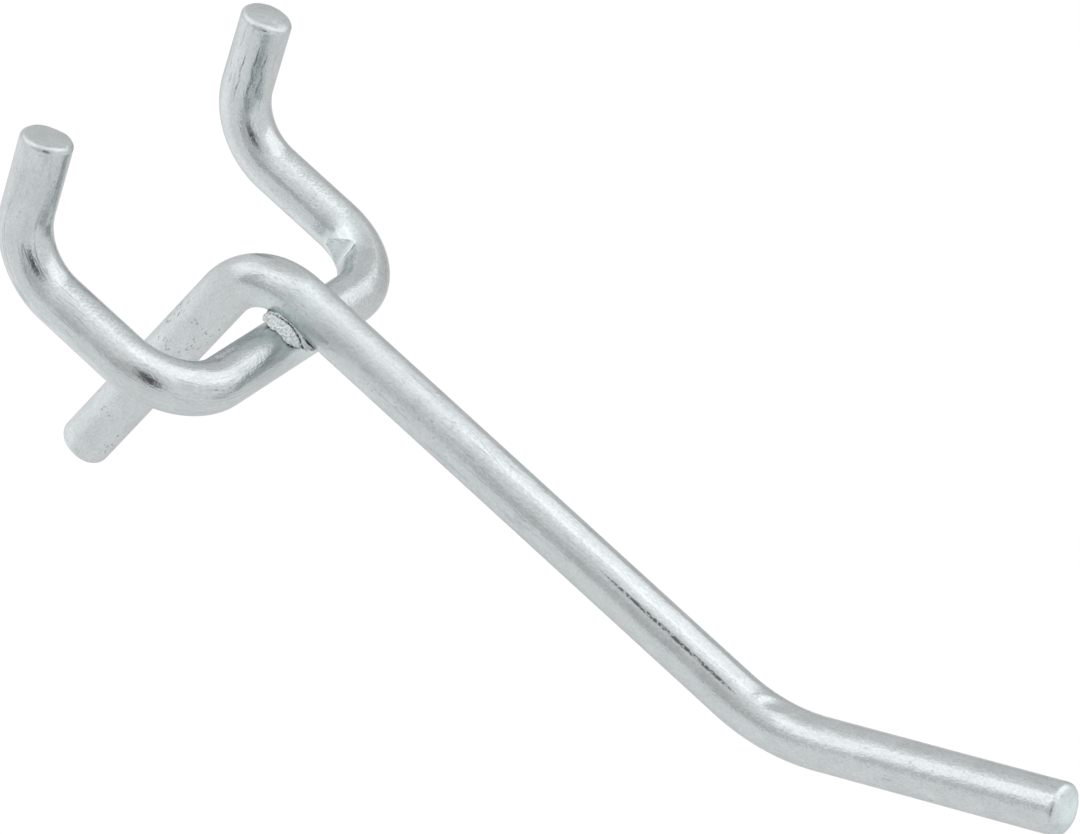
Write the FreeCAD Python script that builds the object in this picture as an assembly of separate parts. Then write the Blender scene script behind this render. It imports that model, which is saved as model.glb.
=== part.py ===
import FreeCAD, Part
import math
import os

from FreeCAD import Vector

# Double-prong pegboard hook: two bent wires, crossed and welded.
# The frame is the hook in use. The board's front face is the plane Y = 0, with the board behind it
# on the +Y side, Z up and X along the row of holes. The origin is midway between the two holes,
# where the axes of the prongs meet the board's face. Sizes are in millimetres and degrees.

# Driving dimensions of both wires
WIRE_DIAMETER = 3.5
END_ROUND = 0.4

# The prong wire: a bar across the front, two prongs back through the board, tips turned up behind it
HOLE_PITCH = 25.4
PRONG_LENGTH = 14.4
PRONG_BEND_RADIUS = 5.0
TIP_LENGTH = 9.3
TIP_TURN = 76.0

# The hook wire: a leg flat on the board, an arm over the bar, and an upturned end
ARM_RISE = 8.5
ARM_LENGTH = 40.5
LEG_SETBACK = 4.6
LEG_LENGTH = 21.7
LEG_BEND_RADIUS = 4.5
HOOK_END_LENGTH = 20.4
HOOK_END_TURN = 32.0
HOOK_BEND_RADIUS = 12.0

# The weld: how far the arm sank into the bar, and the metal squeezed out round the joint
WELD_SET_DOWN = 0.3
FLASH_RADIUS = 2.6
FLASH_THICKNESS = 1.7

WIRE_RADIUS = WIRE_DIAMETER / 2
HALF_PITCH = HOLE_PITCH / 2
ARM_HEIGHT = WIRE_DIAMETER - WELD_SET_DOWN
RISE = math.radians(ARM_RISE)
BACKWARDS = Vector(0, math.cos(RISE), -math.sin(RISE))
UPWARDS = Vector(0, math.sin(RISE), math.cos(RISE))

# From the bar's centreline back to the board's face, along a prong, with the leg flat on the face
BAR_TO_FACE = LEG_SETBACK + ARM_HEIGHT * math.tan(RISE) + WIRE_RADIUS / math.cos(RISE)
BAR_MIDDLE = BACKWARDS * -BAR_TO_FACE


def from_bar(side, back, up):
    """A point measured from the middle of the bar: sideways, back along the prongs, and up from them."""
    return BAR_MIDDLE + Vector(side, 0, 0) + BACKWARDS * back + UPWARDS * up


def direction(start, end):
    return (end - start).normalize()


def bend(before, corner, after, radius):
    """Where a tangent arc at a corner starts, passes and ends."""
    arrive = direction(before, corner)
    leave = direction(corner, after)
    half_turn = arrive.getAngle(leave) / 2
    reach = radius * math.tan(half_turn)
    inward = (leave - arrive).normalize()
    centre = corner + inward * (radius / math.cos(half_turn))
    return corner - arrive * reach, centre - inward * radius, corner + leave * reach


def centreline(corners, radii):
    """Straight runs between the corners, joined by tangent arcs."""
    edges = []
    start = corners[0]
    for before, corner, after, radius in zip(corners, corners[1:], corners[2:], radii):
        arc_start, arc_middle, arc_end = bend(before, corner, after, radius)
        edges.append(Part.LineSegment(start, arc_start).toShape())
        edges.append(Part.Arc(arc_start, arc_middle, arc_end).toShape())
        start = arc_end
    edges.append(Part.LineSegment(start, corners[-1]).toShape())
    return Part.Wire(edges)


def bent_wire(corners, radii):
    """A round wire along the centreline, with the sharp edge of each sheared end rounded off."""
    section = Part.Wire(Part.makeCircle(WIRE_RADIUS, corners[0], corners[1] - corners[0]))
    wire = Part.Solid(centreline(corners, radii).makePipeShell([section], True, False))
    rims = [edge for edge in wire.Edges if edge.CenterOfMass.isEqual(corners[0], END_ROUND)]
    rims += [edge for edge in wire.Edges if edge.CenterOfMass.isEqual(corners[-1], END_ROUND)]
    return wire.makeFillet(END_ROUND, rims)


def prong_corners():
    turn = math.radians(TIP_TURN)
    tip_back = PRONG_LENGTH + TIP_LENGTH * math.cos(turn)
    tip_up = TIP_LENGTH * math.sin(turn)
    left = [
        from_bar(-HALF_PITCH, tip_back, tip_up),
        from_bar(-HALF_PITCH, PRONG_LENGTH, 0),
        from_bar(-HALF_PITCH, 0, 0),
    ]
    right = [Vector(-point.x, point.y, point.z) for point in reversed(left)]
    return left + right


def hook_corners():
    turn = math.radians(HOOK_END_TURN)
    leg_corner = from_bar(0, LEG_SETBACK, ARM_HEIGHT)
    arm_corner = from_bar(0, -ARM_LENGTH, ARM_HEIGHT)
    end_forward = ARM_LENGTH + HOOK_END_LENGTH * math.cos(turn)
    end_up = ARM_HEIGHT + HOOK_END_LENGTH * math.sin(turn)
    return [
        leg_corner - Vector(0, 0, LEG_LENGTH),
        leg_corner,
        arm_corner,
        from_bar(0, -end_forward, end_up),
    ]


def make_hook_wire():
    return bent_wire(hook_corners(), [LEG_BEND_RADIUS, HOOK_BEND_RADIUS])


def make_prong_wire(hook_wire):
    """The U of wire, with the seat that the arm sank into."""
    wire = bent_wire(prong_corners(), [PRONG_BEND_RADIUS] * 4)
    return wire.cut(hook_wire)


def make_weld_flash(prong_wire, hook_wire):
    """A lens of squeezed-out metal round the joint, which fills the space between the two wires."""
    middle = from_bar(0, 0, WIRE_RADIUS - WELD_SET_DOWN / 2)
    half_thickness = FLASH_THICKNESS / 2
    dome_radius = (FLASH_RADIUS**2 + half_thickness**2) / FLASH_THICKNESS
    to_centre = UPWARDS * (dome_radius - half_thickness)
    upper_dome = Part.makeSphere(dome_radius, middle - to_centre)
    lower_dome = Part.makeSphere(dome_radius, middle + to_centre)
    lens = upper_dome.common(lower_dome)
    return lens.cut([prong_wire, hook_wire])


def main():
    hook_wire = make_hook_wire()
    prong_wire = make_prong_wire(hook_wire)
    weld_flash = make_weld_flash(prong_wire, hook_wire)
    pieces = {"prong_wire": prong_wire, "hook_wire": hook_wire, "weld_flash": weld_flash}
    os.makedirs("parts", exist_ok=True)
    for name, shape in pieces.items():
        shape.exportStep(f"parts/{name}.step")
        box = shape.BoundBox
        size = f"{box.XLength:.2f} x {box.YLength:.2f} x {box.ZLength:.2f} mm"
        print(name, len(shape.Solids), "solid", shape.isValid(), f"{shape.Volume:.2f} mm3", size)


main()
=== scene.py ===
# %% [markdown]
# # A double-prong pegboard hook, dressed over its solids
# The hook is two pieces of zinc-plated steel wire. One is a U whose two prongs go through the board;
# the other is the leg, the arm and its upturned end. They cross once and are welded there.
# The solids come in as a fixed frame, with the board's face at Y = 0 and Z up, in metres.

# %% Load the frame
import math

import bmesh
import bpy
import numpy as np
from mathutils import Matrix, Vector, noise


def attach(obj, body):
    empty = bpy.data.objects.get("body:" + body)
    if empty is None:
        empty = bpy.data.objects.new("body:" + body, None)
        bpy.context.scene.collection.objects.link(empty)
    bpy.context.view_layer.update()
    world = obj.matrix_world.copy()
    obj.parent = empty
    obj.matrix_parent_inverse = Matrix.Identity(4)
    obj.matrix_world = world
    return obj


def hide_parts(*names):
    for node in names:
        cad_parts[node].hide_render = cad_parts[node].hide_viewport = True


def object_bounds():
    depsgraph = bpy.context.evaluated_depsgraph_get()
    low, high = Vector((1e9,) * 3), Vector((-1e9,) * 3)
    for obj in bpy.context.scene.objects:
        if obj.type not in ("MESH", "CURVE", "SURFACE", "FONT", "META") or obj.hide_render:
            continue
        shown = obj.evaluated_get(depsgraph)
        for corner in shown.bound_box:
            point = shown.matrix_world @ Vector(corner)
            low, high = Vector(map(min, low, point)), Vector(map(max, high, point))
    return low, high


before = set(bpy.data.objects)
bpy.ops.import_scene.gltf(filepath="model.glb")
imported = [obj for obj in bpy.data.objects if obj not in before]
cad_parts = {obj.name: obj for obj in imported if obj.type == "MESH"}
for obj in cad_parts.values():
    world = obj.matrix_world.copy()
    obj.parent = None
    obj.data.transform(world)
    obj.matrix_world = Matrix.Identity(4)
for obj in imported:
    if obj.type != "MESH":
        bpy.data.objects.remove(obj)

cad_low, cad_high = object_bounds()
print("solids", sorted(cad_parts), "box in mm", [round(1000 * s, 2) for s in cad_high - cad_low])

# %% [markdown]
# ## The routes of the two wires
# A bent wire is fully told by the corners that it turns at and the radius of each bend, which is how
# a wire shop writes it down. The same few sizes as the solids give the corners, so the dressed wires
# lie exactly on them. Working from corners also keeps the next step free of hand-placed points.

# %% Sizes of the wires
MM = 0.001
WIRE_RADIUS = 1.75 * MM
END_ROUND = 0.4 * MM
HALF_PITCH = 12.7 * MM
PRONG_LENGTH = 14.4 * MM
TIP_LENGTH = 9.3 * MM
TIP_TURN = math.radians(76)
PRONG_BEND_RADIUS = 5.0 * MM
ARM_RISE = math.radians(8.5)
ARM_LENGTH = 40.5 * MM
LEG_SETBACK = 4.6 * MM
LEG_LENGTH = 21.7 * MM
LEG_BEND_RADIUS = 4.5 * MM
HOOK_END_LENGTH = 20.4 * MM
HOOK_END_TURN = math.radians(32)
HOOK_BEND_RADIUS = 12.0 * MM
WELD_SET_DOWN = 0.3 * MM

# %% Corners of the two routes
BACKWARDS = Vector((0, math.cos(ARM_RISE), -math.sin(ARM_RISE)))
UPWARDS = Vector((0, math.sin(ARM_RISE), math.cos(ARM_RISE)))
SIDEWAYS = Vector((1, 0, 0))
ARM_HEIGHT = 2 * WIRE_RADIUS - WELD_SET_DOWN
BAR_TO_FACE = LEG_SETBACK + ARM_HEIGHT * math.tan(ARM_RISE) + WIRE_RADIUS / math.cos(ARM_RISE)
BAR_MIDDLE = BACKWARDS * -BAR_TO_FACE


def from_bar(side, back, up):
    """A point measured from the middle of the bar: sideways, back along the prongs, and up."""
    return BAR_MIDDLE + SIDEWAYS * side + BACKWARDS * back + UPWARDS * up


def prong_corners():
    tip_back = PRONG_LENGTH + TIP_LENGTH * math.cos(TIP_TURN)
    tip_up = TIP_LENGTH * math.sin(TIP_TURN)
    left = [
        from_bar(-HALF_PITCH, tip_back, tip_up),
        from_bar(-HALF_PITCH, PRONG_LENGTH, 0),
        from_bar(-HALF_PITCH, 0, 0),
    ]
    return left + [Vector((-p.x, p.y, p.z)) for p in reversed(left)]


def hook_corners():
    leg_corner = from_bar(0, LEG_SETBACK, ARM_HEIGHT)
    end_forward = ARM_LENGTH + HOOK_END_LENGTH * math.cos(HOOK_END_TURN)
    end_up = ARM_HEIGHT + HOOK_END_LENGTH * math.sin(HOOK_END_TURN)
    return [
        leg_corner - Vector((0, 0, LEG_LENGTH)),
        leg_corner,
        from_bar(0, -ARM_LENGTH, ARM_HEIGHT),
        from_bar(0, -end_forward, end_up),
    ]


def in_scene(name, data):
    """A new object with that data, put into the scene."""
    thing = bpy.data.objects.new(name, data)
    bpy.context.scene.collection.objects.link(thing)
    return thing


def route_object(name, corners, bend_radii):
    """An edge from corner to corner, with each corner's bend radius kept on its vertex."""
    mesh = bpy.data.meshes.new(name)
    mesh.from_pydata(corners, [(i, i + 1) for i in range(len(corners) - 1)], [])
    radius = mesh.attributes.new("bend_radius", "FLOAT", "POINT")
    radius.data.foreach_set("value", [0, *bend_radii, 0])
    return in_scene(name, mesh)


prong_route = route_object("prong_wire_dressed", prong_corners(), [PRONG_BEND_RADIUS] * 4)
hook_route = route_object("hook_wire_dressed", hook_corners(), [LEG_BEND_RADIUS, HOOK_BEND_RADIUS])
print("corners:", len(prong_route.data.vertices), "and", len(hook_route.data.vertices))

# %% [markdown]
# ## Sweeping a wire with Geometry Nodes
# Both wires follow one rule: fillet the corners, then carry a circle along the line. A bevelled curve
# would leave flat, sharp ends, but real ends are cut faces with a worn rim. So the tree walks over the
# wire's skin, from the middle of one cut face to the middle of the other, at even steps. Where the
# walk is on a face, the circle grows; over the rim it turns; then it runs along the wire.
# The tree also stores where each point would be if the wire were straight, which lets the drawn
# lines of the finish follow every bend later on.

# %% Helpers for node trees
def add(tree, kind, inputs=None, **settings):
    """Adds a node. Each input is a plain value or another node's output."""
    node = tree.nodes.new(kind)
    for name, value in settings.items():
        setattr(node, name, value)
    for socket, value in (inputs or {}).items():
        if isinstance(value, bpy.types.NodeSocket):
            tree.links.new(value, node.inputs[socket])
        else:
            node.inputs[socket].default_value = value
    return node


def calc(tree, operation, first, second=0.0):
    """The result of one step of arithmetic inside a node tree."""
    return add(tree, "ShaderNodeMath", {0: first, 1: second}, operation=operation).outputs[0]


def store(tree, geometry, name, value, data_type="FLOAT"):
    inputs = {"Geometry": geometry, "Name": name, "Value": value}
    return add(tree, "GeometryNodeStoreNamedAttribute", inputs, data_type=data_type).outputs[0]


def stored(tree, name):
    node = add(tree, "GeometryNodeInputNamedAttribute", {"Name": name}, data_type="FLOAT")
    return node.outputs["Attribute"]


# %% The walk over a wire's skin
END_DOME = 0.05 * MM
PRONG_STEP = 0.09 * MM
HOOK_STEP = 0.13 * MM
WIRE_INPUTS = {
    "Wire Radius": WIRE_RADIUS,
    "End Round": END_ROUND,
    "End Dome": END_DOME,
    "Step": HOOK_STEP,
}


def skin_walk(tree, sizes, walked, whole, length):
    """How far along the wire, and how far off its line, the skin is after a walk of that length."""
    radius, rim, dome = sizes["Wire Radius"], sizes["End Round"], sizes["End Dome"]
    from_end = calc(tree, "MINIMUM", walked, calc(tree, "SUBTRACT", whole, walked))
    face_radius = calc(tree, "SUBTRACT", radius, rim)
    on_face = calc(tree, "MINIMUM", from_end, face_radius)
    past_face = calc(tree, "SUBTRACT", from_end, face_radius)
    turn = calc(tree, "MAXIMUM", calc(tree, "DIVIDE", past_face, rim), 0.0)
    turn = calc(tree, "MINIMUM", turn, math.pi / 2)
    off_line = calc(tree, "ADD", on_face, calc(tree, "MULTIPLY", rim, calc(tree, "SINE", turn)))
    face_share = calc(tree, "DIVIDE", on_face, face_radius)
    sag = calc(tree, "MULTIPLY", dome, calc(tree, "POWER", face_share, 2.0))
    over_rim = calc(tree, "SUBTRACT", rim, calc(tree, "MULTIPLY", rim, calc(tree, "COSINE", turn)))
    past_rim = calc(tree, "SUBTRACT", past_face, calc(tree, "MULTIPLY", rim, math.pi / 2))
    past_rim = calc(tree, "MAXIMUM", past_rim, 0.0)
    depth = calc(tree, "ADD", calc(tree, "ADD", sag, over_rim), past_rim)
    second_half = calc(tree, "GREATER_THAN", walked, calc(tree, "MULTIPLY", whole, 0.5))
    back = calc(tree, "SUBTRACT", length, calc(tree, "MULTIPLY", depth, 2.0))
    along = calc(tree, "ADD", depth, calc(tree, "MULTIPLY", second_half, back))
    on_cut = calc(tree, "SUBTRACT", 1.0, calc(tree, "DIVIDE", turn, math.pi / 2))
    return along, off_line, on_cut


# %% The line that the sweep follows
BEND_STEPS = 48


def wire_sockets(tree):
    """Gives the tree its named inputs and its output, and returns the inputs."""
    tree.interface.new_socket(name="Route", in_out="INPUT", socket_type="NodeSocketGeometry")
    for name, value in WIRE_INPUTS.items():
        socket = tree.interface.new_socket(name=name, in_out="INPUT", socket_type="NodeSocketFloat")
        socket.default_value = value
    tree.interface.new_socket(name="Finish", in_out="INPUT", socket_type="NodeSocketMaterial")
    tree.interface.new_socket(name="Wire", in_out="OUTPUT", socket_type="NodeSocketGeometry")
    return tree.nodes.new("NodeGroupInput").outputs


def rounded_line(tree, sizes):
    """The route with its corners rounded, and its length."""
    line = add(tree, "GeometryNodeMeshToCurve", {0: sizes["Route"]}).outputs[0]
    radius = stored(tree, "bend_radius")
    fillet = {"Curve": line, "Count": BEND_STEPS, "Radius": radius, "Limit Radius": True}
    line = add(tree, "GeometryNodeFilletCurve", fillet, mode="POLY").outputs[0]
    return line, add(tree, "GeometryNodeCurveLength", {0: line}).outputs[0]


def skin_line(tree, sizes, line, length):
    """A line along the route with one point for each row of the skin."""
    ends = calc(tree, "SUBTRACT", sizes["Wire Radius"], sizes["End Dome"])
    ends = calc(tree, "ADD", ends, calc(tree, "MULTIPLY", sizes["End Round"], math.pi / 2 - 2))
    whole = calc(tree, "ADD", length, calc(tree, "MULTIPLY", ends, 2.0))
    rows = calc(tree, "DIVIDE", whole, sizes["Step"])
    walk = add(tree, "GeometryNodeCurvePrimitiveLine").outputs[0]
    walk = add(tree, "GeometryNodeResampleCurve", {"Curve": walk, "Count": rows}).outputs[0]
    share = add(tree, "GeometryNodeSplineParameter").outputs["Factor"]
    walked = calc(tree, "MULTIPLY", share, whole)
    along, off_line, on_cut = skin_walk(tree, sizes, walked, whole, length)
    for name, value in (("along", along), ("off_line", off_line), ("cut_face", on_cut)):
        walk = store(tree, walk, name, value)
    sample = {"Curves": line, "Length": stored(tree, "along")}
    place = add(tree, "GeometryNodeSampleCurve", sample, mode="LENGTH").outputs["Position"]
    return add(tree, "GeometryNodeSetPosition", {"Geometry": walk, "Position": place}).outputs[0]


# %% The tree that bends and sweeps a wire
AROUND_STEPS = 96
SEAM_GAP = 0.001 * MM


def swept_skin(tree, walk):
    """A ring carried along the line, with the place of each point on the straightened wire."""
    circle = {"Resolution": AROUND_STEPS, "Radius": 1.0}
    ring = add(tree, "GeometryNodeCurvePrimitiveCircle", circle).outputs[0]
    share = add(tree, "GeometryNodeSplineParameter").outputs["Factor"]
    ring = store(tree, ring, "around", calc(tree, "MULTIPLY", share, 2 * math.pi))
    off_line, around = stored(tree, "off_line"), stored(tree, "around")
    sweep = {"Curve": walk, "Profile Curve": ring, "Scale": off_line}
    skin = add(tree, "GeometryNodeCurveToMesh", sweep).outputs[0]
    across = calc(tree, "MULTIPLY", off_line, calc(tree, "COSINE", around))
    up = calc(tree, "MULTIPLY", off_line, calc(tree, "SINE", around))
    axes = {"X": across, "Y": up, "Z": stored(tree, "along")}
    straight = add(tree, "ShaderNodeCombineXYZ", axes).outputs[0]
    return store(tree, skin, "straightened", straight, "FLOAT_VECTOR")


def bent_wire_tree():
    tree = bpy.data.node_groups.new("bent_wire", "GeometryNodeTree")
    sizes = wire_sockets(tree)
    line, length = rounded_line(tree, sizes)
    skin = swept_skin(tree, skin_line(tree, sizes, line, length))
    skin = add(tree, "GeometryNodeMergeByDistance", {"Geometry": skin, "Distance": SEAM_GAP}).outputs[0]
    skin = add(tree, "GeometryNodeSetShadeSmooth", {"Geometry": skin}).outputs[0]
    skin = add(tree, "GeometryNodeRealizeInstances", {"Geometry": skin}).outputs[0]
    finished = {"Geometry": skin, "Material": sizes["Finish"]}
    skin = add(tree, "GeometryNodeSetMaterial", finished).outputs[0]
    tree.links.new(skin, tree.nodes.new("NodeGroupOutput").inputs[0])
    return tree


wire_tree = bent_wire_tree()
print("wire tree:", len(wire_tree.nodes), "nodes")

# %% [markdown]
# ## The finish of the plated wire
# Bright zinc on drawn wire is a satin metal. Fine lines run along it from the die that it was drawn
# through, the plating has a grain of its own and a faint mottle, and small pits and rubs show dark.
# All of these follow the wire round its bends, so their patterns are laid out on the straightened
# wire. Each effect is a small node group with named inputs, and the weld uses the grain's group too.

# %% Helpers for shader groups
def shader_group(name, inputs, outputs):
    """A group, the sockets of its inputs and those of its outputs. An input given as None is a vector."""
    tree = bpy.data.node_groups.new(name, "ShaderNodeTree")
    for label, value in inputs.items():
        kind = "NodeSocketVector" if value is None else "NodeSocketFloat"
        socket = tree.interface.new_socket(name=label, in_out="INPUT", socket_type=kind)
        if value is not None:
            socket.default_value = value
    for label in outputs:
        tree.interface.new_socket(name=label, in_out="OUTPUT", socket_type="NodeSocketFloat")
    return tree, tree.nodes.new("NodeGroupInput").outputs, tree.nodes.new("NodeGroupOutput").inputs


def stretched(tree, place, across, along):
    """A place on the wire scaled by two numbers: repeats per mm across the wire and along it."""
    scale = add(tree, "ShaderNodeCombineXYZ", {"X": across, "Y": across, "Z": along}).outputs[0]
    scaled = add(tree, "ShaderNodeVectorMath", {0: place, 1: scale}, operation="MULTIPLY")
    return scaled.outputs[0]


def noise_at(tree, place, detail, distortion=0.0):
    inputs = {"Vector": place, "Scale": 1.0, "Detail": detail, "Distortion": distortion}
    return add(tree, "ShaderNodeTexNoise", inputs).outputs[0]


def ramp(tree, value, low, high):
    """0 below low, 1 above high, smooth between them. With low above high it falls instead."""
    inputs = {"Value": value, "From Min": low, "From Max": high}
    return add(tree, "ShaderNodeMapRange", inputs, interpolation_type="SMOOTHSTEP").outputs[0]


# %% Groups for the grain and the drawn lines
GRAIN_STRETCH = 0.6
# Each noise of the grain, with its detail and its distortion
GRAIN_NOISES = (("Grain", 2.0, 0.0), ("Ripple", 2.0, 0.3), ("Mottle", 5.0, 0.6))
LINE_DETAIL = 3.0
LINE_DISTORTION = 0.15


def grain_group():
    """Three noises, from fine to slow, a little longer along the wire than across it."""
    inputs = {"Place": None, "Grain": 7.5, "Ripple": 2.2, "Mottle": 0.8}
    tree, given, made = shader_group("plating_grain", inputs, ["Grain", "Ripple", "Mottle"])
    for name, detail, distortion in GRAIN_NOISES:
        along = calc(tree, "MULTIPLY", given[name], GRAIN_STRETCH)
        place = stretched(tree, given["Place"], given[name], along)
        tree.links.new(noise_at(tree, place, detail, distortion), made[name])
    return tree


def lines_group():
    """A noise drawn out along the wire."""
    inputs = {"Place": None, "Across": 5.0, "Along": 0.045}
    tree, given, made = shader_group("drawn_lines", inputs, ["Lines"])
    lines = stretched(tree, given["Place"], given["Across"], given["Along"])
    tree.links.new(noise_at(tree, lines, LINE_DETAIL, LINE_DISTORTION), made["Lines"])
    return tree


GRAIN, LINES = grain_group(), lines_group()
print("groups:", GRAIN.name, LINES.name)

# %% Groups for the pits and the rubbed streaks
# Repeats are per mm across the wire and along it. Levels are where a pattern starts and where it is full.
PIT_STRETCH = 0.5
PIT_DETAIL = 1.0
PIT_EDGE = 0.06
CLUSTER_REPEATS = (0.9, 0.5)
CLUSTER_DETAIL = 2.0
CLUSTER_LEVELS = (0.42, 0.62)


def pits_group():
    """Flecks where a fine noise passes the threshold, shown only inside loose clusters."""
    inputs = {"Place": None, "Per Millimetre": 6.0, "Threshold": 0.62}
    tree, given, made = shader_group("small_pits", inputs, ["Pits"])
    along = calc(tree, "MULTIPLY", given["Per Millimetre"], PIT_STRETCH)
    place = stretched(tree, given["Place"], given["Per Millimetre"], along)
    flecks = noise_at(tree, place, PIT_DETAIL)
    soft_edge = calc(tree, "ADD", given["Threshold"], PIT_EDGE)
    fleck = ramp(tree, flecks, given["Threshold"], soft_edge)
    clusters = noise_at(tree, stretched(tree, given["Place"], *CLUSTER_REPEATS), CLUSTER_DETAIL)
    shown = calc(tree, "MULTIPLY", fleck, ramp(tree, clusters, *CLUSTER_LEVELS))
    tree.links.new(shown, made["Pits"])
    return tree


NOISE_MIDDLE = 0.5
STREAK_DETAIL = 4.0
STREAK_DISTORTION = 0.5
BREAK_REPEATS = (2.0, 0.5)
BREAK_DETAIL = 3.0
BREAK_LEVELS = (0.4, 0.62)


def streaks_group():
    """Thin lines where a drawn-out noise is near its middle, broken up by another noise."""
    inputs = {"Place": None, "Across": 1.3, "Along": 0.07, "Width": 0.03}
    tree, given, made = shader_group("rubbed_streaks", inputs, ["Streaks"])
    drawn = stretched(tree, given["Place"], given["Across"], given["Along"])
    waves = noise_at(tree, drawn, STREAK_DETAIL, STREAK_DISTORTION)
    from_middle = calc(tree, "SUBTRACT", waves, NOISE_MIDDLE)
    line = ramp(tree, calc(tree, "ABSOLUTE", from_middle), given["Width"], 0.0)
    breaks = noise_at(tree, stretched(tree, given["Place"], *BREAK_REPEATS), BREAK_DETAIL)
    shown = calc(tree, "MULTIPLY", line, ramp(tree, breaks, *BREAK_LEVELS))
    tree.links.new(shown, made["Streaks"])
    return tree


PITS, STREAKS = pits_group(), streaks_group()
print("groups:", PITS.name, STREAKS.name)

# %% [markdown]
# ## The zinc itself
# One material serves both wires. The colour is a cool light grey, and the grain, the lines and the
# pits go into the bump as heights in millimetres, so that they break up reflections the way they do
# on the real wire. Painted masks say where it is pitted, streaked, dulled, or ironed smooth by a tool,
# and where it is pale: a chalky teal bloom at the weld, made lighter there as painted light, and a
# painted sheen on the arm's cut end and the pressed flats. Dark score lines are joined by painted shade
# in the seams round the weld. An image could hold all this, but noise stays sharp at any distance.

# %% Helpers for finishes
def use_group(tree, group, **values):
    """Places a group in a material, with its own values, and returns what it puts out."""
    return add(tree, "ShaderNodeGroup", values, node_tree=group).outputs


def painted(tree, name, output="Fac"):
    return add(tree, "ShaderNodeAttribute", attribute_name=name).outputs[output]


def mixed(tree, share, first, second):
    """A colour between two others. Sockets 0, 6 and 7 of the node are the share and the colours."""
    inputs = {0: share, 6: first, 7: second}
    return add(tree, "ShaderNodeMix", inputs, data_type="RGBA").outputs[2]


def shaded(tree, colour, shades, value):
    """A colour made darker or lighter by a value from 0 to 1."""
    inputs = {"Value": value, "To Min": shades[0], "To Max": shades[1]}
    level = add(tree, "ShaderNodeMapRange", inputs).outputs[0]
    scaled = add(tree, "ShaderNodeVectorMath", {0: colour, "Scale": level}, operation="SCALE")
    return scaled.outputs[0]


def weighted_sum(tree, marks, weights):
    """The sum of the marks that the weights name, each times its weight."""
    total = 0.0
    for name, weight in weights.items():
        total = calc(tree, "ADD", total, calc(tree, "MULTIPLY", marks[name], weight))
    return total


def in_millimetres(tree, metres):
    scaled = add(tree, "ShaderNodeVectorMath", {0: metres, "Scale": 1 / MM}, operation="SCALE")
    return scaled.outputs[0]


def new_metal(name):
    """A bare metal, with its node tree and its shader."""
    material = bpy.data.materials.new(name)
    material.use_nodes = True
    shader = material.node_tree.nodes["Principled BSDF"]
    shader.inputs["Metallic"].default_value = 1.0
    return material, material.node_tree, shader


def set_relief(tree, shader, heights):
    """Lets heights in mm break up the light on a surface."""
    bump = add(tree, "ShaderNodeBump", {"Height": heights, "Strength": 1.0, "Distance": MM})
    tree.links.new(bump.outputs[0], shader.inputs["Normal"])


# %% The marks on the zinc plate
SPECKLE_MIX = {"Grain": 0.75, "Lines": 0.25}
SPECKLE_LEAST = 0.2
SPECKLE_LEVELS = (0.45, 0.55)
SCORE_AND_SHADE_LEVELS = (0.1, 0.8)
CHALK_LEVELS = (0.1, 0.5)


def zinc_marks(tree):
    """The patterns of the plate. Most of them show only where a mask is painted."""
    place = in_millimetres(tree, painted(tree, "straightened", "Vector"))
    grain = use_group(tree, GRAIN, Place=place)
    marks = {name: grain[name] for name in ("Grain", "Ripple", "Mottle")}
    marks["Lines"] = use_group(tree, LINES, Place=place)["Lines"]
    marks["Cut"] = painted(tree, "cut_face")
    marks["Dulled"] = painted(tree, "dulled")
    pits = use_group(tree, PITS, Place=place)["Pits"]
    marks["Pits"] = calc(tree, "MULTIPLY", pits, painted(tree, "pitted"))
    streaks = use_group(tree, STREAKS, Place=place)["Streaks"]
    marks["Streaks"] = calc(tree, "MULTIPLY", streaks, painted(tree, "streaked"))
    speckle = ramp(tree, weighted_sum(tree, marks, SPECKLE_MIX), *SPECKLE_LEVELS)
    speckle = calc(tree, "ADD", SPECKLE_LEAST, calc(tree, "MULTIPLY", speckle, 1 - SPECKLE_LEAST))
    # Score lines, and painted shade in the seams where the wires meet the flash
    scored_and_shaded = ramp(tree, painted(tree, "scored_and_shaded"), *SCORE_AND_SHADE_LEVELS)
    marks["Scored"] = calc(tree, "MULTIPLY", scored_and_shaded, speckle)
    marks["Dents"] = calc(tree, "MAXIMUM", marks["Streaks"], marks["Scored"])
    # Pale bloom: a real teal tint made lighter at the weld as painted light, and a painted sheen on the
    # arm's end and the flats
    chalk = ramp(tree, marks["Mottle"], *CHALK_LEVELS)
    marks["BloomAndSheen"] = calc(tree, "MULTIPLY", painted(tree, "bloom_and_sheen"), chalk)
    return marks


# %% The zinc plate
ZINC_COLOUR = (0.548, 0.579, 0.588, 1)
EDGE_TINT = (0.75, 0.75, 0.75, 1)
PIT_COLOUR = (0.28, 0.30, 0.30, 1)
STREAK_COLOUR = (0.20, 0.26, 0.27, 1)
# Dark score lines, and painted shade in the seams where the wires meet the flash and each other
SCORE_AND_SHADE_COLOUR = (0.12, 0.13, 0.13, 1)
RUBBED_LEVELS = (0.0, 0.3)
# Pale tint, lighter at the weld as painted light, and a painted highlight on the arm's cut end and the
# pressed flats
BLOOM_AND_SHEEN_COLOUR = (0.72, 0.80, 0.80, 1)
MOTTLE_SHADES = (0.86, 1.14)
GRAIN_SHADES = (0.80, 1.20)
SMOOTHEST = 0.13
ADDED_ROUGHNESS = {"Mottle": 0.14, "Cut": 0.2, "Pits": 0.3, "BloomAndSheen": 0.15, "Dulled": 0.10}
# Heights in mm
ZINC_HEIGHTS = {
    "Grain": 0.014,
    "Ripple": 0.014,
    "Mottle": 0.03,
    "Lines": 0.010,
    "Pits": -0.02,
    "Dents": -0.012,
}
IRONED_OUT = 0.75


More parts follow.
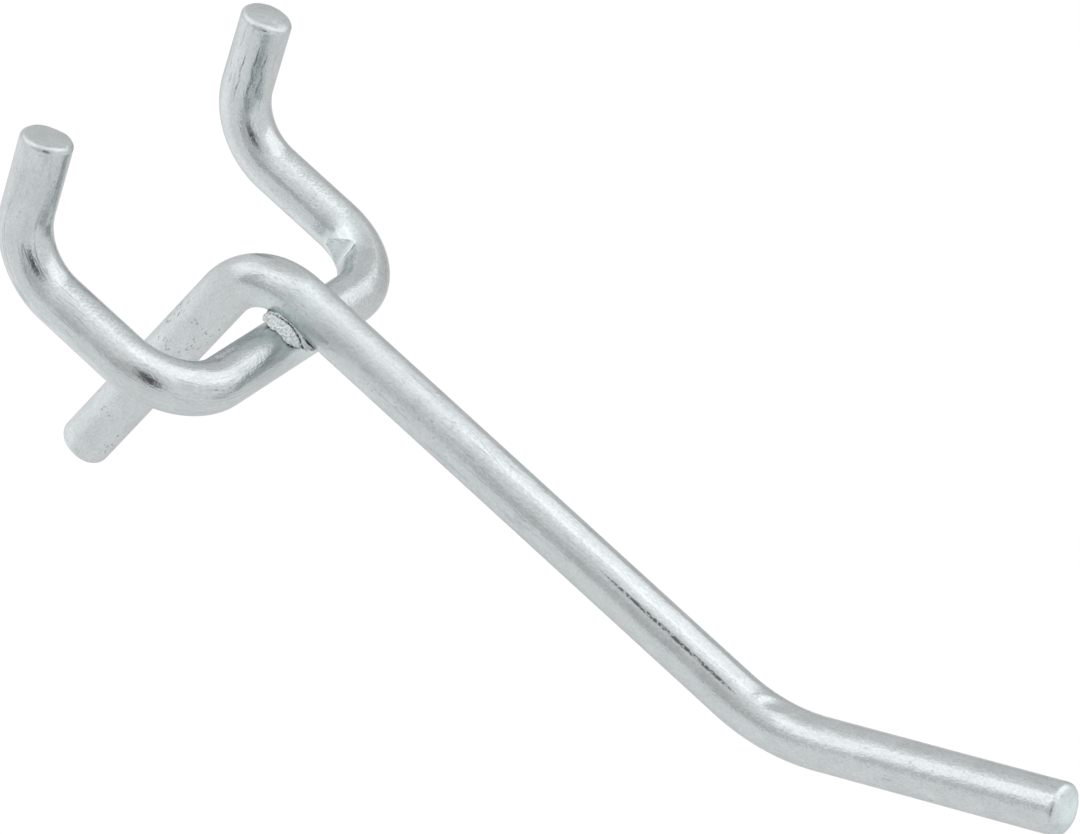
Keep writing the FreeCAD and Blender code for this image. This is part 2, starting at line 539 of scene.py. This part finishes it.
def zinc_colour(tree, marks):
    rubbed = ramp(tree, painted(tree, "streaked"), *RUBBED_LEVELS)
    score_and_shade_colour = mixed(tree, rubbed, SCORE_AND_SHADE_COLOUR, STREAK_COLOUR)
    colour = mixed(tree, marks["BloomAndSheen"], ZINC_COLOUR, BLOOM_AND_SHEEN_COLOUR)
    colour = shaded(tree, colour, MOTTLE_SHADES, marks["Mottle"])
    colour = shaded(tree, colour, GRAIN_SHADES, marks["Grain"])
    colour = mixed(tree, marks["Streaks"], colour, STREAK_COLOUR)
    # Score lines, with painted shade in the seams round the weld
    colour = mixed(tree, marks["Scored"], colour, score_and_shade_colour)
    return mixed(tree, marks["Pits"], colour, PIT_COLOUR)


def zinc_material():
    material, tree, shader = new_metal("zinc_plate")
    marks = zinc_marks(tree)
    tree.links.new(zinc_colour(tree, marks), shader.inputs["Base Color"])
    shader.inputs["Specular Tint"].default_value = EDGE_TINT
    roughness = calc(tree, "ADD", weighted_sum(tree, marks, ADDED_ROUGHNESS), SMOOTHEST)
    tree.links.new(roughness, shader.inputs["Roughness"])
    ironed = calc(tree, "MULTIPLY", painted(tree, "ironed"), IRONED_OUT)
    left_rough = calc(tree, "SUBTRACT", 1.0, ironed)
    heights = weighted_sum(tree, marks, ZINC_HEIGHTS)
    set_relief(tree, shader, calc(tree, "MULTIPLY", heights, left_rough))
    return material


zinc_plate = zinc_material()
print("finish:", zinc_plate.name, len(zinc_plate.node_tree.nodes), "nodes")

# %% [markdown]
# ## The metal of the weld
# The flash was squeezed out hot and froze with a coarse, sparkling grain under its plate. It could
# share the zinc's material, but it was never drawn, so it has no lines and no straightened wire to
# lay them on. It gets a plainer material of its own, which uses the grain group again.

# %% The weld metal
WELD_COLOUR = (0.64, 0.68, 0.68, 1)
# Painted shade in the flash's deep crevices and in the gap beside the arm
CREVICE_SHADE_COLOUR = (0.06, 0.08, 0.08, 1)
WELD_SHADES = (0.6, 1.4)
WELD_GRAIN = 5.5
WELD_HEIGHTS = {"Grain": 0.11, "Ripple": 0.06}
WELD_ROUGHNESS = 0.45
CREVICE_SHADE_STARTS = 1.2
CREVICE_SHADE_DARKEST = 2.4


def weld_material():
    """Pale metal with a coarse grain, and painted shade where the flash lies deep."""
    material, tree, shader = new_metal("weld_metal")
    place = in_millimetres(tree, add(tree, "ShaderNodeTexCoord").outputs["Object"])
    grain = use_group(tree, GRAIN, Place=place, Grain=WELD_GRAIN)
    colour = shaded(tree, WELD_COLOUR[:3], WELD_SHADES, grain["Grain"])
    # Painted shade where the flash lies deep
    crevice_shade = ramp(tree, painted(tree, "crevice_shade"), CREVICE_SHADE_STARTS, CREVICE_SHADE_DARKEST)
    tree.links.new(mixed(tree, crevice_shade, colour, CREVICE_SHADE_COLOUR), shader.inputs["Base Color"])
    shader.inputs["Roughness"].default_value = WELD_ROUGHNESS
    set_relief(tree, shader, weighted_sum(tree, grain, WELD_HEIGHTS))
    return material


weld_metal = weld_material()
print("finish:", weld_metal.name, len(weld_metal.node_tree.nodes), "nodes")

# %% [markdown]
# ## From routes to wires
# A modifier gives its wire only for as long as it stays on the object, and the next steps press marks
# into plain meshes. An operator could apply it, but operators depend on what is selected. Making a
# new mesh from the evaluated object gives the same wire and is easier to follow. The prong wire gets
# shorter steps than the hook wire, because the marks in its bends need finer rows.

# %% Sweep both wires into plain meshes
def swept_wire(route, finish, step):
    """Runs the tree on a route and keeps the result as the object's own mesh."""
    modifier = route.modifiers.new("sweep", "NODES")
    modifier.node_group = wire_tree
    sockets = {s.name: s.identifier for s in wire_tree.interface.items_tree if s.in_out == "INPUT"}
    for name, value in {**WIRE_INPUTS, "Step": step, "Finish": finish}.items():
        modifier[sockets[name]] = value
    graph = bpy.context.evaluated_depsgraph_get()
    mesh = bpy.data.meshes.new_from_object(route.evaluated_get(graph), depsgraph=graph)
    route.modifiers.remove(modifier)
    route.data = mesh
    return route


prong_wire = swept_wire(prong_route, zinc_plate, PRONG_STEP)
hook_wire = swept_wire(hook_route, zinc_plate, HOOK_STEP)
for wire in (prong_wire, hook_wire):
    print(wire.name, len(wire.data.polygons), "faces", [a.name for a in wire.data.attributes])

# %% [markdown]
# ## The weld
# The arm sank a little into the bar when the two were welded, so the bar has a seat pressed into it.
# A Boolean modifier could cut the seat, but it would leave long, thin faces in the even skin. Here
# the points of the bar that lie inside the arm are moved straight out to its surface.

# %% Press the seat into the bar
def points_of(piece):
    points = np.empty(len(piece.data.vertices) * 3)
    piece.data.vertices.foreach_get("co", points)
    return points.reshape(-1, 3)


def set_points(piece, points):
    piece.data.vertices.foreach_set("co", points.ravel())
    piece.data.update()


def pushed_off(points, on_axis, axis, radius):
    """Points inside a round bar moved straight out to its surface."""
    axis = np.array(axis)
    offset = points - np.array(on_axis)
    offset -= np.outer(offset @ axis, axis)
    distance = np.linalg.norm(offset, axis=1)
    inside = distance < radius
    grown = points.copy()
    grown[inside] += offset[inside] * (radius / distance[inside] - 1)[:, None]
    return grown, inside


arm_line = from_bar(0, 0, ARM_HEIGHT)
prong_points, seat = pushed_off(points_of(prong_wire), arm_line, BACKWARDS, WIRE_RADIUS)
set_points(prong_wire, prong_points)
print("seat:", int(seat.sum()), "points pressed")

# %% [markdown]
# ## Marks of the making
# Bending leaves marks. The wire was bent round the corner of a steel block, which pressed a flat into
# the inside of each front bend of the U, and the tool that turned up the arm's end nicked its inner
# side. The cropped ends are domed and lean a little. These are small, but they catch the light, so
# they are pressed into the mesh. A bump in the finish would leave the outline too smooth.

# %% Press the flats inside the front bends
BLOCK_TO_PRONG = 3.30 * MM
BLOCK_TO_BAR = 2.5 * MM
BLOCK_END = 0.7 * MM
BLOCK_SLANT = 1.05
BLOCK_TURN = math.radians(4)
BLOCK_SQUARENESS = 16
CLOSEST_ROWS = 0.1
SLID_ROW_GAP = 0.95
LEAST_POWER = 1e-9


def block_mark(points, side):
    """The flat that the block leaves inside a front bend; side is -1 on the left, 1 on the right. The
    block's faces are measured from the centre of the bend, its corner is a little rounded and its top
    is slanted. The two rows at its top slide along the bend onto the edge, which keeps that clean."""
    centre = from_bar(side * (HALF_PITCH - PRONG_BEND_RADIUS), PRONG_BEND_RADIUS, 0)
    offset = points - np.array(centre)
    outward = offset @ np.array(SIDEWAYS) * side
    forward = offset @ np.array(-BACKWARDS)
    block_top = BLOCK_END + BLOCK_SLANT * np.maximum(offset @ np.array(UPWARDS), 0)
    row_gap = np.maximum(outward / PRONG_BEND_RADIUS, CLOSEST_ROWS) * PRONG_STEP * SLID_ROW_GAP
    rows_past = np.round((forward - block_top) / row_gap)
    on_edge = (rows_past == 0) | (rows_past == 1)
    slid_forward = np.where(on_edge, block_top + rows_past * row_gap, forward)
    slid_outward = np.sqrt(np.maximum(outward**2 + forward**2 - slid_forward**2, 0))
    to_prong = slid_outward * math.cos(BLOCK_TURN) + slid_forward * math.sin(BLOCK_TURN)
    powers = (np.maximum(to_prong, 0) / BLOCK_TO_PRONG) ** BLOCK_SQUARENESS
    powers += (np.maximum(slid_forward, 0) / BLOCK_TO_BAR) ** BLOCK_SQUARENESS
    marked = (powers < 1) & (outward > 0) & (rows_past >= 0)
    to_surface = np.maximum(powers, LEAST_POWER) ** (-1 / BLOCK_SQUARENESS)
    growth = np.where(rows_past >= 1, to_surface, 1.0)
    pressed = points.copy()
    pressed[marked] += np.outer((slid_outward * growth - outward)[marked], SIDEWAYS * side)
    pressed[marked] -= np.outer((slid_forward * growth - forward)[marked], BACKWARDS)
    return pressed, int(marked.sum())


prong_points, left_count = block_mark(points_of(prong_wire), -1)
prong_points, right_count = block_mark(prong_points, 1)
set_points(prong_wire, prong_points)
print("points pressed by the block:", left_count, right_count)

# %% Nick the bend of the arm
NICK_PLACE = from_bar(-0.42 * MM, -39.67 * MM, 5.24 * MM)
NICK_UP = (SIDEWAYS * -0.24 + BACKWARDS * 0.25 + UPWARDS * 0.94).normalized()
NICK_AXIS = NICK_UP.cross(BACKWARDS + SIDEWAYS * 0.5).normalized()
NICK_TOOL_RADIUS = 2.6 * MM
NICK_DEPTH = 0.11 * MM
tool_centre = NICK_PLACE + NICK_UP * (NICK_TOOL_RADIUS - NICK_DEPTH)
hook_points, nick = pushed_off(points_of(hook_wire), tool_centre, NICK_AXIS, NICK_TOOL_RADIUS)
set_points(hook_wire, hook_points)
print("points pressed by the nick:", int(nick.sum()))

# %% Shape the cropped ends
CUT_UNEVEN = 0.07 * MM
CUT_REACH = 2.0 * MM
# Each wave is its repeats per mm and its weight.
CUT_WAVES = ((0.9, 1.0), (3.1, 0.35))
LEFT_TIP = {"dome": 0.12, "rise": 0.10, "lean": Vector((-0.18, -0.07, -0.01))}
RIGHT_TIP = {"dome": 0.18, "rise": -0.10, "lean": Vector((-0.10, 0.09, -0.04))}
LEG_END = {"dome": 0.10, "rise": -0.10, "lean": Vector((0, 0, 0))}
ARM_END = {"dome": 0.34, "rise": 0.0, "lean": Vector((0.14, 0, 0))}


def values_of(piece, name):
    values = np.empty(len(piece.data.vertices))
    piece.data.attributes[name].data.foreach_get("value", values)
    return values


def shape_end(points, from_end, cut, end, inner, shape):
    """Domes and leans one cropped end and makes its face uneven. The shape's sizes are in mm: how far
    the middle stands out, how far the whole face does, and the rise at the rim towards one side."""
    outward = np.array((end - inner).normalized())
    near = np.flatnonzero(from_end < CUT_REACH)
    offset = points[near] - np.array(end)
    offset -= np.outer(offset @ outward, outward)
    bulge = shape["dome"] * (1 - (np.linalg.norm(offset, axis=1) / WIRE_RADIUS) ** 2)
    lean = offset @ np.array(shape["lean"]) / WIRE_RADIUS
    fade = 1 - from_end[near] / CUT_REACH
    rise = (bulge + (lean + shape["rise"]) * fade) * MM
    for index, height in zip(near, rise):
        place = Vector(points[index]) / MM
        waves = sum(weight * noise.noise(place * repeats) for repeats, weight in CUT_WAVES)
        sink = CUT_UNEVEN * cut[index] * min(max(0.5 + waves, 0), 1)
        points[index] += outward * (height - sink)
    return len(near)


def shape_ends(piece, corners, first, last):
    points, along, cut = points_of(piece), values_of(piece, "along"), values_of(piece, "cut_face")
    count = shape_end(points, along, cut, corners[0], corners[1], first)
    count += shape_end(points, along.max() - along, cut, corners[-1], corners[-2], last)
    set_points(piece, points)
    return count


print("points of the prong wire's ends:", shape_ends(prong_wire, prong_corners(), LEFT_TIP, RIGHT_TIP))
print("points of the hook wire's ends:", shape_ends(hook_wire, hook_corners(), LEG_END, ARM_END))

# %% [markdown]
# ## The flash
# The metal that the weld squeezed out froze as a thin lens in the corners between the wires, with a
# coarse grain and a ragged rim. It could be sculpted by hand, but noise on a polar grid gives it by
# rule: slow noise for the rim, cells for the grain, and a groove beside the arm where the lens pulled
# away as it cooled. How deep each point lies is kept on the vertex, with the gap beside the arm counted
# as deep, so that the finish can paint shade into the crevices and that gap.

# %% The surface of the flash
FLASH_RADIUS = 2.6 * MM
FLASH_NARROW = 0.86
FLASH_HALF = 0.85 * MM
FLASH_LEVEL = WIRE_RADIUS - WELD_SET_DOWN / 2
FLASH_DOME = (FLASH_RADIUS**2 + FLASH_HALF**2) / (2 * FLASH_HALF)
FLASH_GRAIN = 0.06 * MM
GRAIN_LEVEL = 0.9
CRYSTALS_PER_MM = 4.5
CRYSTAL_EDGE = 0.5
FINE_PER_MM = 7.0
FINE_OCTAVES = 3
FINE_SHARE = 0.5
GROOVE_OFFSET = 1.65 * MM
GROOVE_WIDTH = 0.04 * MM
GROOVE_DEPTH = 0.13 * MM
# Each lump is a place beside, behind and above the bar's middle, its radius and its height, in mm.
FLASH_LUMPS = (
    (-1.75, 1.45, 1.75, 0.42, 0.20),
    (-1.20, -2.00, 1.50, 0.28, 0.22),
)


def flash_height(reach):
    """How far the smooth lens stands above its own middle plane, at a distance from its centre."""
    return np.sqrt(np.maximum(FLASH_DOME**2 - reach**2, 0)) - (FLASH_DOME - FLASH_HALF)


def flash_depth(local):
    """How far a point of the lens lies below its smooth surface, from its place in mm."""
    cells = noise.voronoi(local * CRYSTALS_PER_MM)[0]
    crystals = min(cells[1] - cells[0], CRYSTAL_EDGE) / CRYSTAL_EDGE
    fine = noise.fractal(local * FINE_PER_MM, 1.0, 2.0, FINE_OCTAVES)
    groove = math.exp(-(((abs(local.x) * MM - GROOVE_OFFSET) / GROOVE_WIDTH) ** 2))
    raised = 0.0
    for side, back, up, radius, height in FLASH_LUMPS:
        gap = (local - Vector((side, back, up))).length / radius
        raised += height * MM * math.exp(-gap * gap)
    grain = FLASH_GRAIN * (GRAIN_LEVEL - crystals - FINE_SHARE * fine)
    return grain + GROOVE_DEPTH * groove - raised


# %% The rim of the flash and its points
FLASH_CLIMB = 1.6
RIM_REPEATS = 3.0
RIM_SLICE = 0.4
RIM_RAGGED = 0.07
GAP_WIDTH = 0.10 * MM
GAP_START = -1.4 * MM
GAP_SHADE = 4
# Each tab is its direction and its width in degrees, and its growth as a share of the rim.
RIM_TABS = (
    (139, 9, 0.10),
    (-118, 12, 0.07),
)


def rim_share(angle):
    """How far the rim reaches in one direction, as a share of the round lens."""
    around = Vector((math.cos(angle), math.sin(angle), RIM_SLICE))
    ragged = noise.noise(around * RIM_REPEATS)
    tabs = 0.0
    for middle, width, growth in RIM_TABS:
        turn = (angle - math.radians(middle) + math.pi) % (2 * math.pi) - math.pi
        tabs += growth * math.exp(-((turn / math.radians(width)) ** 2))
    return 1 - RIM_RAGGED * (0.5 + 0.5 * ragged) + tabs


def flash_point(tilt, angle):
    """A point of the lens and how much painted shade its crevice gets, from its angles off the top and
    around.
    """
    reach = FLASH_RADIUS * math.sin(tilt)
    height = flash_height(reach) * (FLASH_CLIMB if math.cos(tilt) > 0 else -1)
    reach *= rim_share(angle)
    side, back = reach * math.cos(angle), reach * FLASH_NARROW * math.sin(angle)
    place = Vector((side, back, FLASH_LEVEL + height))
    depth = flash_depth(place / MM)
    rise = math.copysign(1 - reach / FLASH_DOME, height)
    out = Vector((place.x / FLASH_DOME, place.y / FLASH_DOME, rise))
    to_arm = math.hypot(place.x, place.z - ARM_HEIGHT) - WIRE_RADIUS
    # Painted shade in the gap between the flash and the arm
    gap = GAP_SHADE * math.exp(-((to_arm / GAP_WIDTH) ** 2)) if place.y < GAP_START else 0
    return from_bar(*(place - out.normalized() * depth)), depth / FLASH_GRAIN + gap


# %% The squeezed-out flash
FLASH_AROUND = 240
FLASH_RINGS = 110
POLE_GAP = 0.0005 * MM


def weld_flash_mesh(around, rings):
    points, crevice_shades, faces = [], [], []
    for row in range(rings + 1):
        for step in range(around):
            point, crevice_shade = flash_point(math.pi * row / rings, 2 * math.pi * step / around)
            points.append(point)
            crevice_shades.append(crevice_shade)
    for row in range(rings):
        for step in range(around):
            following = (step + 1) % around
            low, high = row * around, (row + 1) * around
            faces.append((low + step, high + step, high + following, low + following))
    mesh = bpy.data.meshes.new("weld_flash_dressed")
    mesh.from_pydata(points, [], faces)
    mesh.attributes.new("crevice_shade", "FLOAT", "POINT").data.foreach_set("value", crevice_shades)
    return mesh


def close_poles(mesh):
    """Joins the points that lie on each other at the two ends of the polar grid."""
    work = bmesh.new()
    work.from_mesh(mesh)
    bmesh.ops.remove_doubles(work, verts=work.verts, dist=POLE_GAP)
    work.to_mesh(mesh)
    work.free()
    mesh.shade_smooth()


flash_mesh = weld_flash_mesh(FLASH_AROUND, FLASH_RINGS)
close_poles(flash_mesh)
flash_mesh.materials.append(weld_metal)
weld_flash = in_scene("weld_flash_dressed", flash_mesh)
print("flash:", len(flash_mesh.polygons), "faces")

# %% [markdown]
# ## Painting where the wire is worn
# Wear, bloom and painted sheen show in some places only. A mask is a number on each vertex, painted round
# a few spots, and the patterns of the finish only show inside it. An image could hold the masks, but the
# skin is fine enough to hold them itself, without a layout for an image.

# %% A brush for masks
MASK_STEEPNESS = 1.6


def paint(piece, name, spots):
    """Each spot is a place in mm, the radius that it fades over in mm, and its strength."""
    points = points_of(piece) / MM
    mask = np.zeros(len(points))
    for place, radius, strength in spots:
        near = 1 - np.linalg.norm(points - np.array(place), axis=1) / radius
        mask = np.maximum(mask, strength * np.clip(near * MASK_STEEPNESS, 0, 1))
    attribute = piece.data.attributes.new(name, "FLOAT", "POINT")
    attribute.data.foreach_set("value", mask)
    return mask


# %% Paint the masks
WELD = from_bar(0, 0, WIRE_RADIUS) / MM
ARM_FLANK = from_bar(-1.5 * MM, -10 * MM, 2.4 * MM) / MM
DULL_ARM = from_bar(0, -6 * MM, ARM_HEIGHT) / MM
ARM_TIP = hook_corners()[-1] / MM
HOOK_END_MIDDLE = (hook_corners()[-1] + hook_corners()[-2]) / (2 * MM)
LEFT_FLAT = from_bar(-10.9 * MM, 3.4 * MM, 0.7 * MM) / MM
RIGHT_FLAT = from_bar(10.9 * MM, 3.4 * MM, 0.7 * MM) / MM
HOOK_MASKS = {
    "pitted": [
        ((-1.7, -1.7, -3.5), 5, 0.9),
        ((-1.6, -2.3, -14.6), 4, 0.8),
        ((0, -5, 6), 6, 0.35),
        (ARM_FLANK, 5, 0.6),
        (HOOK_END_MIDDLE, 8, 0.35),
    ],
    "streaked": [((0, -20, 4), 14, 0.35)],
    # Paler at the weld as painted light, and a painted sheen on the arm's cut end
    "bloom_and_sheen": [(WELD, 3.6, 0.85), (ARM_TIP, 1.9, 1)],
    "dulled": [(DULL_ARM, 14, 1)],
    "ironed": [],
}
PRONG_MASKS = {
    "pitted": [((-14.4, 9.3, 4.9), 4, 0.4), ((11, 1, 0), 3, 0.5), ((12, -7, 1), 5, 0.4)],
    "streaked": [((11.3, 8.6, 4.4), 5, 0.5), ((-14, 6, 2), 8, 0.5), ((-8, -8, 1), 8, 0.35)],
    # Paler at the weld as painted light, and a painted sheen on the pressed flats
    "bloom_and_sheen": [(WELD, 3.6, 0.6), (LEFT_FLAT, 1.9, 0.6), (RIGHT_FLAT, 1.9, 0.6)],
    "dulled": [],
    "ironed": [(LEFT_FLAT, 2.4, 1), (RIGHT_FLAT, 2.4, 1)],
}
for wire, masks in ((hook_wire, HOOK_MASKS), (prong_wire, PRONG_MASKS)):
    for name, spots in masks.items():
        mask = paint(wire, name, spots)
        print(wire.name, name, int((mask > 0).sum()), "points")

# %% [markdown]
# ## Scored lines
# ## Score lines, and painted shade round the weld
# A worn die leaves dark lines along a drawn wire, and rubbing leaves more on the prong wire. Where the
# flash meets the wires, and where the wires meet each other, a thin dark line is painted shade for the
# seam. A pattern would spread such lines evenly, but each of these has its own place. So they are
# worked out on the vertices, as the distance to a line, and the finish breaks them up with its grain.

# %% Score lines along the wires, and painted shade in the seams round the flash
# Each line is a place in mm, then in mm how far it runs before and after it, its width and its waviness.
HOOK_SCORES = [((-1.30, -39.22, 10.27), 9.0, 4.5, 0.22, 0.0)]
PRONG_SCORES = [
    ((11.18, 8.78, 4.35), 2.8, 2.8, 0.14, 0.05),
    ((11.46, 8.42, 4.66), 2.4, 2.2, 0.13, 0.05),
    ((10.96, 9.34, 3.66), 2.4, 2.4, 0.11, 0.04),
    ((-9.11, -7.68, 2.37), 2.5, 2.5, 0.09, 0.05),
]
# How wide the painted shade in the seams round the weld is
SEAM_SHADE_WIDTH = 0.18 * MM
SLOW_WAVE = 1.9
QUICK_WAVE = 4.3
FADE_POWER = 4
FADE_LIMIT = 4


def score(piece, line):
    """1 on the line, falling past 0 at its edges, and fading out at both ends."""
    place, before, after, width, wave = line
    nearest = np.argmin(np.linalg.norm(points_of(piece) - np.array(place) * MM, axis=1))
    around, along = values_of(piece, "around"), values_of(piece, "along")
    along = (along - along[nearest]) / MM
    turn = (around - around[nearest] + math.pi) % (2 * math.pi) - math.pi
    waves = np.sin(SLOW_WAVE * along) + np.sin(QUICK_WAVE * along)
    off = turn * WIRE_RADIUS / MM + wave * waves
    fade = np.maximum(along / after, -along / before)
    return 1 - np.abs(off) / width - np.clip(fade, 0, FADE_LIMIT) ** FADE_POWER


def weld_seam_shade(piece, other_height):
    """Painted shade for the seams: 1 where a wire meets the flash or the other wire, falling past 0
    beside it.
    """
    offset = points_of(piece) - np.array(BAR_MIDDLE)
    side, back, up = (offset @ np.array(axis) for axis in (SIDEWAYS, BACKWARDS, UPWARDS))
    to_flash = np.abs(up - FLASH_LEVEL) - flash_height(np.hypot(side, back / FLASH_NARROW))
    across = back if other_height == 0 else side
    to_wire = np.hypot(across, up - other_height) - WIRE_RADIUS
    gap = np.minimum(np.abs(to_flash), np.abs(to_wire))
    near_weld = np.hypot(side, back) < 2 * FLASH_RADIUS
    return np.where(near_weld, 1 - gap / SEAM_SHADE_WIDTH, -1)


# Score lines and the painted seam shade go into one mask on each wire
for wire, lines, other_height in ((hook_wire, HOOK_SCORES, 0), (prong_wire, PRONG_SCORES, ARM_HEIGHT)):
    marks = [weld_seam_shade(wire, other_height), *(score(wire, line) for line in lines)]
    scored_and_shaded = np.maximum.reduce(marks)
    wire.data.attributes.new("scored_and_shaded", "FLOAT", "POINT").data.foreach_set("value", scored_and_shaded)
    print(wire.name, "scored points:", int((scored_and_shaded > 0).sum()))

# %% [markdown]
# ## The studio
# Bare metal shows only what stands round it, so the studio is laid out from the camera's place: a long
# soft box overhead in three parts, white all round, grey boards where a real studio is dark, and a
# small white card close to the hook, on its left and a little behind it. A picture of a studio could
# light the hook too, but boxes and boards can be moved one at a time. They are turned to the hook and
# are never seen by the camera.

# %% The camera
CAMERA_PLACE = Vector((-286.461, -49.500, 235.669)) * MM
CAMERA_RIGHT = Vector((0.5037413, -0.6530114, 0.5655270))
CAMERA_UP = Vector((0.3571598, 0.7535196, 0.5519466))
CAMERA_BACK = Vector((-0.7865631, -0.0760548, 0.6128084))
SENSOR_WIDTH = 36.0
LENS = 192.4527

camera_data = bpy.data.cameras.new("camera")
camera_data.sensor_width = SENSOR_WIDTH
camera_data.lens = LENS
camera = in_scene("camera", camera_data)
camera_turn = Matrix((CAMERA_RIGHT, CAMERA_UP, CAMERA_BACK)).transposed()
camera.matrix_world = Matrix.Translation(CAMERA_PLACE) @ camera_turn.to_4x4()
bpy.context.scene.camera = camera
bpy.context.scene.view_settings.view_transform = "Standard"
print("camera: lens", LENS, "mm")

# %% White surroundings
def seen_directly(tree):
    """1 for a ray from the camera, a reflection or a refraction, and 0 for the light on a surface."""
    path = add(tree, "ShaderNodeLightPath").outputs
    seen = calc(tree, "MAXIMUM", path["Is Camera Ray"], path["Is Glossy Ray"])
    return calc(tree, "MAXIMUM", seen, path["Is Transmission Ray"])


AMBIENT = 0.96
WHITE = (1, 1, 1, 1)
world = bpy.data.worlds.new("studio")
world.use_nodes = True
sky_tree = world.node_tree
sky = sky_tree.nodes["Background"]
sky.inputs["Color"].default_value = WHITE
levels = {"Value": seen_directly(sky_tree), "To Min": AMBIENT, "To Max": 1.0}
ambient = add(sky_tree, "ShaderNodeMapRange", levels).outputs[0]
sky_tree.links.new(ambient, sky.inputs["Strength"])
bpy.context.scene.world = world
print("surroundings:", world.name)

# %% White floor
FLOOR_DROP = 0.12
FLOOR_HALF = 3.0
FLOOR_WHITE = (0.91, 0.91, 0.91, 1)


def flat_mesh(name, half_width, half_height, level=0.0):
    """One face, level, with its middle on the Z axis."""
    signs = ((-1, -1), (1, -1), (1, 1), (-1, 1))
    mesh = bpy.data.meshes.new(name)
    mesh.from_pydata([(x * half_width, y * half_height, level) for x, y in signs], [], [(0, 1, 2, 3)])
    return mesh


floor_mesh = flat_mesh("floor", FLOOR_HALF, FLOOR_HALF, -FLOOR_DROP)
floor = in_scene("floor", floor_mesh)
floor_paint = bpy.data.materials.new("floor_paint")
floor_paint.use_nodes = True
floor_shader = floor_paint.node_tree.nodes["Principled BSDF"]
floor_shader.inputs["Base Color"].default_value = FLOOR_WHITE
floor_shader.inputs["Roughness"].default_value = 1.0
floor_shader.inputs["Specular IOR Level"].default_value = 0.0
floor_mesh.materials.append(floor_paint)
print("floor:", 2 * FLOOR_HALF, "m wide")

# %% Soft boxes
HOOK_MIDDLE = (cad_low + cad_high) / 2
BOX_DISTANCE = 0.7
# Name, degrees right of the camera's line and up from it, width and height in metres, brightness
SOFT_BOXES = (
    ("left_box", -68, 38, 1.0, 0.62, 0.46),
    ("middle_box", 2, 47, 0.66, 0.42, 0.28),
    ("right_box", 72, 39, 0.9, 0.62, 0.54),
)


def face_hook(thing, azimuth, elevation, distance):
    """Puts a box or a board round the hook, by angles from the camera's line, and turns it there."""
    right, up = math.radians(azimuth), math.radians(elevation)
    level = CAMERA_RIGHT * math.sin(right) + CAMERA_BACK * math.cos(right)
    place = HOOK_MIDDLE + (level * math.cos(up) + CAMERA_UP * math.sin(up)) * distance
    out = (place - HOOK_MIDDLE).normalized()
    across = CAMERA_UP.cross(out).normalized()
    turn = Matrix((across, out.cross(across), out)).transposed()
    thing.matrix_world = Matrix.Translation(place) @ turn.to_4x4()
    thing.visible_camera = False


def soft_box(name, azimuth, elevation, width, height, brightness):
    """An area light whose face adds that brightness to the white behind it."""
    lamp = bpy.data.lights.new(name, "AREA")
    lamp.shape = "RECTANGLE"
    lamp.size, lamp.size_y = width, height
    lamp.energy = brightness * math.pi * width * height
    face_hook(in_scene(name, lamp), azimuth, elevation, BOX_DISTANCE)


for row in SOFT_BOXES:
    soft_box(*row)
print("soft boxes:", [row[0] for row in SOFT_BOXES])

# %% Boards and a card
BOARD_PLAIN = 0.25
# Name, degrees right and up, width, height and distance in metres, tones of the middle and the rim
BOARDS = (
    ("camera_stand", 5, -15, 0.32, 0.5, 0.5, (0.03, 0.8)),
    ("room_behind_camera", -20, -14, 1.5, 0.66, 0.55, (0.70, 1.0)),
    ("room_behind_hook", 150, 30, 1.9, 1.6, 0.8, (0.76, 0.93)),
    ("ceiling", 140, 72, 1.3, 1.3, 0.8, (0.80, 1.0)),
    ("white_card", -125, 1, 0.16, 0.14, 0.085, (1.27, 1.0)),
)


def board_material(name, half_width, half_height, tones):
    """A glow that goes from one tone in the middle to another at the rim."""
    material = bpy.data.materials.new(name)
    material.use_nodes = True
    tree = material.node_tree
    tree.nodes.remove(tree.nodes["Principled BSDF"])
    place = add(tree, "ShaderNodeTexCoord").outputs["Object"]
    halves = {0: place, 1: (1 / half_width, 1 / half_height, 0)}
    share = add(tree, "ShaderNodeVectorMath", halves, operation="MULTIPLY").outputs[0]
    out = add(tree, "ShaderNodeVectorMath", {0: share}, operation="LENGTH").outputs["Value"]
    levels = {"Value": ramp(tree, out, BOARD_PLAIN, 1.0), "To Min": tones[0], "To Max": tones[1]}
    tone = add(tree, "ShaderNodeMapRange", levels).outputs[0]
    glow = add(tree, "ShaderNodeEmission", {"Color": WHITE, "Strength": tone}).outputs[0]
    tree.links.new(glow, tree.nodes["Material Output"].inputs["Surface"])
    return material


def board(name, azimuth, elevation, width, height, distance, tones):
    mesh = flat_mesh(name, width / 2, height / 2)
    piece = in_scene(name, mesh)
    face_hook(piece, azimuth, elevation, distance)
    piece.visible_shadow = False
    piece.visible_diffuse = False
    mesh.materials.append(board_material(name, width / 2, height / 2, tones))


for row in BOARDS:
    board(*row)
print("boards:", [row[0] for row in BOARDS])

# %% [markdown]
# ## Handing over
# Each dressed piece takes the place of one node of the solids and rides on the same body, so the hook
# still fits the frame that it came from.

# %% Hand the pieces to the frame
for piece, node, slot in (
    (prong_wire, "prong_wire", "zinc_plate"),
    (hook_wire, "hook_wire", "zinc_plate"),
    (weld_flash, "weld_flash", "weld_metal"),
):
    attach(piece, "root")
    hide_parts(node)
